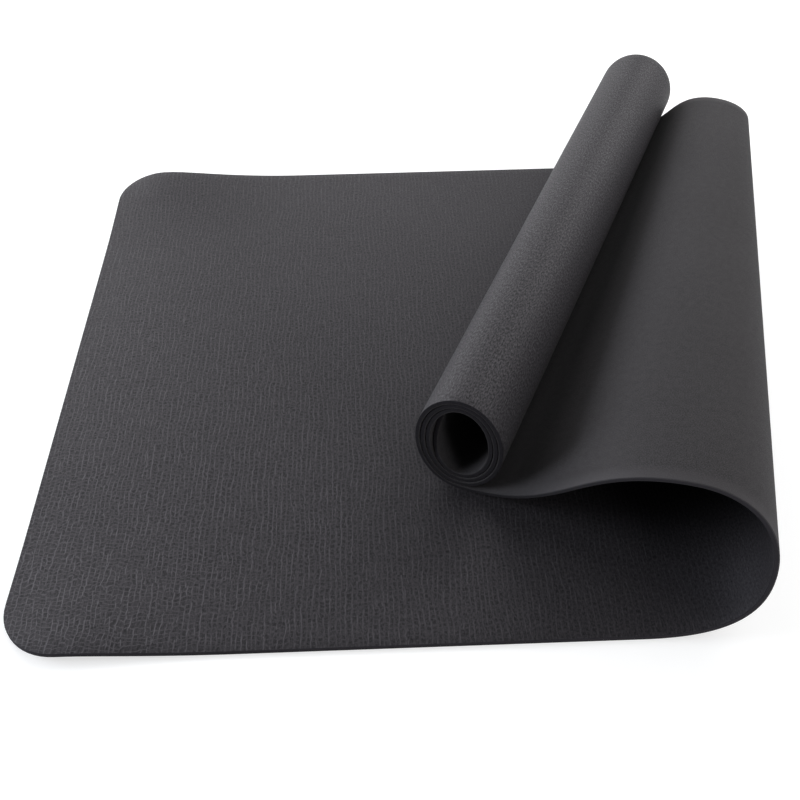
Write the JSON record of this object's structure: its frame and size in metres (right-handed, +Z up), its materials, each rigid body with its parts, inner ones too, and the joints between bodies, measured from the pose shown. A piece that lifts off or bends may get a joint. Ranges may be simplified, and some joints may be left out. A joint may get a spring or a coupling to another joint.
{
  "type": "camping mat",
  "caption": "Thin foam ground mat with rounded corners, grained on one side, folded back over itself in an open loop and ending in a loose roll.",
  "frame": {"origin": "on the ground, under the middle of the whole folded mat's bounding box", "axes": "+Z up; the flat run's front edge faces -Y and its loose end faces -X; the fold is at +X"},
  "size_m": [0.7734, 0.7982, 0.1361],
  "materials": {
    "foam_charcoal": "matt closed-cell foam, plain and finely speckled",
    "grained_charcoal": "matt, embossed with a fine leather-like grain"
  },
  "bodies": {
    "root": {"foam_sheet": "foam_charcoal", "grained_facing": "grained_charcoal"}
  },
  "joints": []
}
